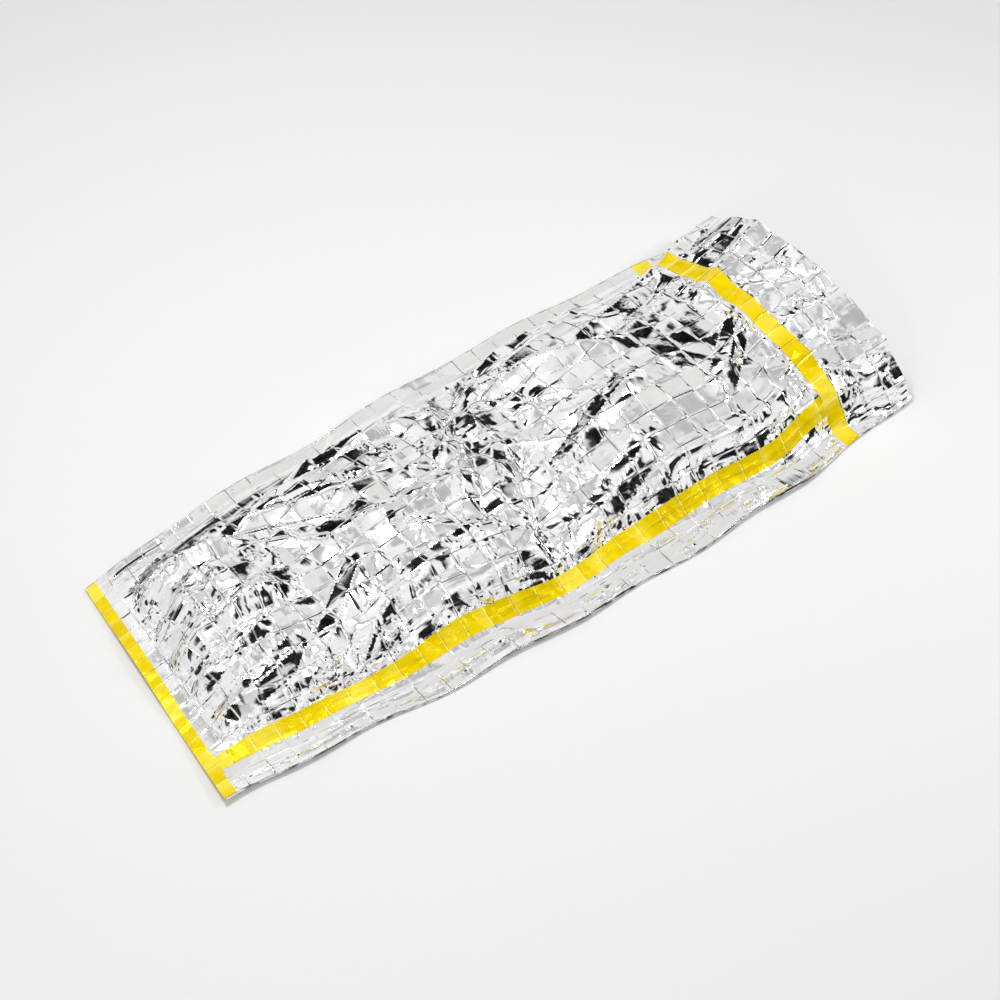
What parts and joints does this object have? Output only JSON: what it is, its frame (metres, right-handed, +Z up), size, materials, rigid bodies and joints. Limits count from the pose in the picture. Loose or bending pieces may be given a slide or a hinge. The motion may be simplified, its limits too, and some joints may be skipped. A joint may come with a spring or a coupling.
{
  "type": "emergency sleeping bag",
  "caption": "Emergency sleeping bag of crinkled metallised film with yellow tape at its seam, hood and foot, laid out on the floor with the mouth open.",
  "frame": {"origin": "on the floor, under the middle of the laid-out bag", "axes": "+X from the foot towards the mouth, +Z up, and the taped seam on the -Y side"},
  "size_m": [2.1011, 0.9133, 0.2339],
  "materials": {
    "film": "metallised plastic film, mirror-bright, creased in a grid and crinkled",
    "tape": "glossy bright yellow adhesive tape with fine cross creases"
  },
  "bodies": {
    "root": {"film": "film", "seam_tape": "tape", "hood_band": "tape", "foot_tape": "tape"}
  },
  "joints": []
}
